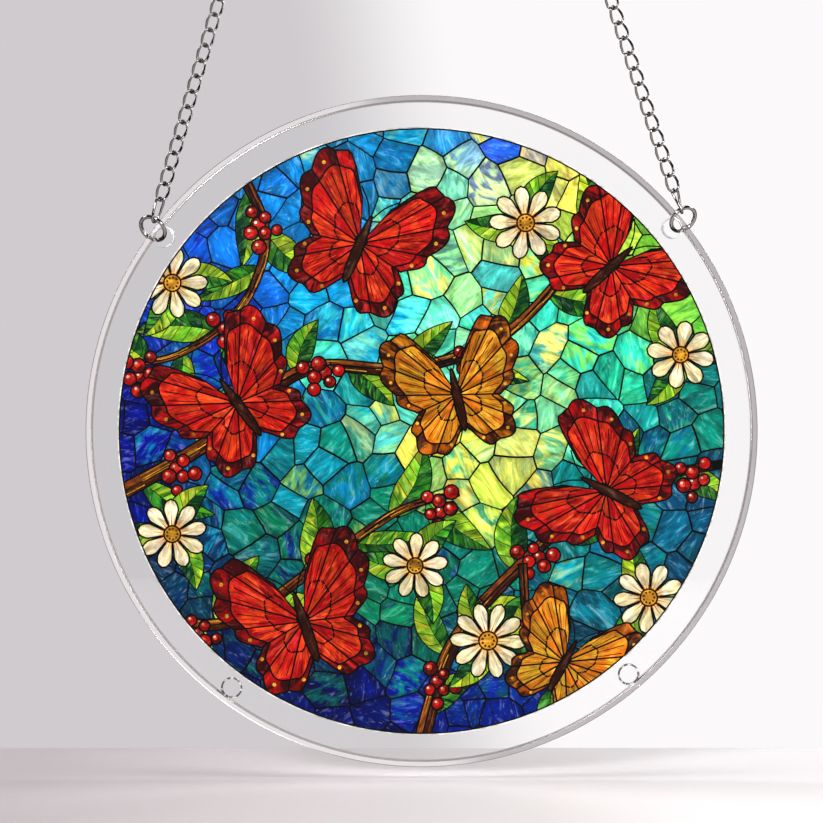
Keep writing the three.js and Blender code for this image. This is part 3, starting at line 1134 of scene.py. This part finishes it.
def film_mesh(flat, triangles, looks, depths):
    """A thin round film: the triangles on its front and back, and a wall round its edge."""
    mesh = bpy.data.meshes.new("printed_picture")
    used = sorted({index for triangle in triangles for index in triangle})
    order = {index: number for number, index in enumerate(used)}
    front = [(flat[i][0] * MM + DISC_CENTRE.x, FILM_LOW.y, flat[i][1] * MM + DISC_CENTRE.z)
             for i in used]
    # The back is bonded a hair into the sheet, so that no two surfaces lie in one plane
    back = [(x, FILM_HIGH.y + 0.02 * MM, z) for x, _, z in front]
    count = len(used)
    faces, tones = [], []
    directed = set()
    for triangle, look in zip(triangles, looks):
        a, b, c = (order[index] for index in triangle)
        faces.append((a, b, c))
        tones.append(look)
        directed.update(((a, b), (b, c), (c, a)))
    for a, b, c in faces[:]:
        faces.append((c + count, b + count, a + count))
    tones += tones
    for a, b in directed:
        if (b, a) not in directed:
            faces.append((b, a, a + count, b + count))
            tones.append(looks[0])
    mesh.from_pydata(front + back, [], faces)
    tint = mesh.attributes.new("tint", "FLOAT_COLOR", "CORNER")
    other = mesh.attributes.new("other", "FLOAT_COLOR", "CORNER")
    flow = mesh.attributes.new("flow", "FLOAT_VECTOR", "CORNER")
    depth = mesh.attributes.new("depth", "FLOAT", "POINT")
    tints, others, flows = [], [], []
    for face, shape in zip(faces, tones):
        tints += list(shape.tint) * len(face)
        others += list(shape.other) * len(face)
        flows += [math.cos(shape.angle), shape.seed, math.sin(shape.angle)] * len(face)
    tint.data.foreach_set("color", tints)
    other.data.foreach_set("color", others)
    flow.data.foreach_set("vector", flows)
    shares = [depths[i] for i in used]
    depth.data.foreach_set("value", shares + shares)
    mesh.validate()
    mesh.update()
    return mesh


class SUNCATCHER_OT_picture(bpy.types.Operator):
    """Makes the printed film with its picture of butterflies, daisies and leaves"""
    bl_idname = "suncatcher.picture"
    bl_label = "Printed picture"

    def execute(self, context):
        picture = Picture(settings().picture)
        background(picture)
        draw_twigs(picture)
        draw_flowers(picture)
        draw_butterflies(picture)
        look = picture.look
        shapes = rim_shapes(look) + picture.shapes
        _, _, tops = partition(shapes, look.grid)
        # Shapes that nothing shows of are left out, which saves triangles
        shown = sorted({0, 1, 2}.union(tops))
        shapes = [shapes[number] for number in shown]
        flat, triangles, tops = partition(shapes, look.grid)
        depths = line_distances(flat, triangles, tops, 2.4)
        must(triangles, "The picture has no shapes")
        mesh = film_mesh(flat, triangles, [shapes[top] for top in tops], depths)
        film = bpy.data.objects.new("printed_picture", mesh)
        context.scene.collection.objects.link(film)
        mesh.materials.append(printed_glass())
        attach(film, "root")
        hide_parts("picture")
        print("picture triangles", len(mesh.polygons))
        return {"FINISHED"}


# The stage: floor, surroundings, lights and camera

def area_light(name, spot, size, power):
    """A soft square light that looks at the disc's centre."""
    data = bpy.data.lights.new(name, "AREA")
    data.shape = "RECTANGLE"
    data.size = size[0] * MM
    data.size_y = size[1] * MM
    data.energy = power
    lamp = bpy.data.objects.new(name, data)
    lamp.location = DISC_CENTRE + Vector(spot) * MM
    lamp.rotation_euler = (DISC_CENTRE - lamp.location).to_track_quat("-Z", "Y").to_euler()
    bpy.context.scene.collection.objects.link(lamp)


def surroundings(stage):
    """A pale backdrop, greyer to the left; reflections show the dimmer room round it."""
    world = bpy.data.worlds.new("pale backdrop in a dim room")
    world.use_nodes = True
    tree = world.node_tree
    back = tree.nodes["Background"]
    way = add_node(tree, "TexCoord").outputs["Generated"]
    parts = add_node(tree, "SeparateXYZ", {0: way}).outputs
    slant = add_node(tree, "Math", {0: parts["Z"], 1: 0.14, 2: parts["X"]},
                     operation="MULTIPLY_ADD")
    side = add_node(tree, "MapRange", {"Value": slant, "From Min": -0.022, "From Max": 0.034},
                    interpolation_type="SMOOTHSTEP")
    backdrop = add_node(tree, "Mix", {
        0: side, 6: (*stage.wall_left, 1.0), 7: (*stage.wall_right, 1.0)}, data_type="RGBA")
    ahead = add_node(tree, "Math", {0: parts["Y"]}, operation="ABSOLUTE")
    behind = add_node(tree, "MapRange", {"Value": ahead, "From Min": 0.35, "From Max": 0.75})
    ray = add_node(tree, "LightPath").outputs
    through = add_node(tree, "Math", {0: ray["Is Transmission Ray"], 1: behind},
                       operation="MULTIPLY")
    seen = add_node(tree, "Math", {0: ray["Is Camera Ray"], 1: through}, operation="MAXIMUM")
    whole = add_node(tree, "Mix", {0: seen, 6: (*stage.room, 1.0), 7: backdrop},
                     data_type="RGBA")
    fill(tree, back, {"Color": whole})
    bpy.context.scene.world = world


# The lights: place from the disc's centre, size and power
LIGHTS = {
    "key": ((-260, -820, 380), (220, 220), 6.4),
    "fill": ((420, -700, 120), (120, 300), 3.4),
    "left edge": ((-620, 120, 420), (120, 300), 2.0),
    "right edge": ((640, 60, 300), (100, 300), 1.6),
    "overhead": ((0, -80, 720), (500, 300), 3.0),
    "rear": ((330, 760, 420), (300, 300), 2.0),
}


def floor_board(stage, upward):
    """A matt white board under the disc, greyer to the left with painted shade."""
    deep = 900.0
    spot = Vector((0, stage.floor_reach - deep / 2, 0)) - upward * (DISC_RADIUS + stage.floor_gap)
    deselect()
    bpy.ops.mesh.primitive_plane_add(
        size=1, rotation=(0, stage.roll, 0), location=DISC_CENTRE + spot * MM)
    bpy.context.object.scale = (2 * deep * MM, deep * MM, 1)
    floor = settle(bpy.context.object, "floor")
    finish, tree, shader = new_material("matt white board with painted shade", {})
    point = add_node(tree, "TexCoord").outputs["Object"]
    # The grain is about 3 mm wide, as coarse as it needs to be to show
    grain = add_node(tree, "TexNoise", {"Vector": point, "Scale": 0.3 / MM, "Detail": 2.0})
    rough = add_node(tree, "MapRange", {"Value": grain, "To Min": 0.5, "To Max": 0.7})
    parts = add_node(tree, "SeparateXYZ", {0: point}).outputs
    # Towards the left the floor's colour turns grey: painted shade
    side = add_node(tree, "MapRange", {
        "Value": parts["X"], "From Min": -90 * MM, "From Max": 60 * MM})
    tone = add_node(tree, "Mix", {
        0: side, 6: (*stage.floor_shade_left, 1.0), 7: (*stage.floor, 1.0)}, data_type="RGBA")
    fill(tree, shader, {"Base Color": tone, "Roughness": rough})
    floor.data.materials.append(finish)


class SUNCATCHER_OT_stage(bpy.types.Operator):
    """Makes the pale floor, the soft lights, the surroundings and the camera"""
    bl_idname = "suncatcher.stage"
    bl_label = "Stage"

    def execute(self, context):
        stage = settings().stage
        upward = Vector((math.sin(stage.roll), 0, math.cos(stage.roll)))
        sideways = Vector((upward.z, 0, -upward.x))
        floor_board(stage, upward)
        surroundings(stage)
        for name, (spot, size, power) in LIGHTS.items():
            area_light(name, spot, size, power)
        camera = bpy.data.objects.new("camera", bpy.data.cameras.new("camera"))
        camera.data.lens = camera.data.sensor_width * stage.distance / stage.frame_width
        camera.data.clip_start = 0.01
        shift = sideways * stage.across + upward * stage.above - Vector((0, stage.distance, 0))
        camera.location = DISC_CENTRE + shift * MM
        camera.rotation_euler = (math.radians(90), stage.roll, 0)
        context.scene.collection.objects.link(camera)
        context.scene.camera = camera
        context.scene.view_settings.view_transform = "Standard"
        return {"FINISHED"}


class SUNCATCHER_PT_panel(bpy.types.Panel):
    """Lists the suncatcher's pieces"""
    bl_idname = "SUNCATCHER_PT_panel"
    bl_label = "Suncatcher"
    bl_space_type = "VIEW_3D"
    bl_region_type = "UI"
    bl_category = "Suncatcher"

    def draw(self, context):
        for step in STEPS:
            self.layout.operator(step.bl_idname)


STEPS = (
    SUNCATCHER_OT_stage,
    SUNCATCHER_OT_plate,
    SUNCATCHER_OT_picture,
    SUNCATCHER_OT_rings,
    SUNCATCHER_OT_chain,
)
GROUPS = (PlateSettings, ChainSettings, PictureSettings, StageSettings, SuncatcherSettings)


def register():
    for item in (*GROUPS, *STEPS, SUNCATCHER_PT_panel):
        bpy.utils.register_class(item)
    bpy.types.Scene.suncatcher = bpy.props.PointerProperty(type=SuncatcherSettings)


def unregister():
    del bpy.types.Scene.suncatcher
    for item in (SUNCATCHER_PT_panel, *reversed(STEPS), *reversed(GROUPS)):
        bpy.utils.unregister_class(item)


def main():
    register()
    bpy.ops.suncatcher.stage()
    bpy.ops.suncatcher.plate()
    bpy.ops.suncatcher.picture()
    bpy.ops.suncatcher.rings()
    bpy.ops.suncatcher.chain()
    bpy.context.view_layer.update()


if __name__ == "__main__":
    main()
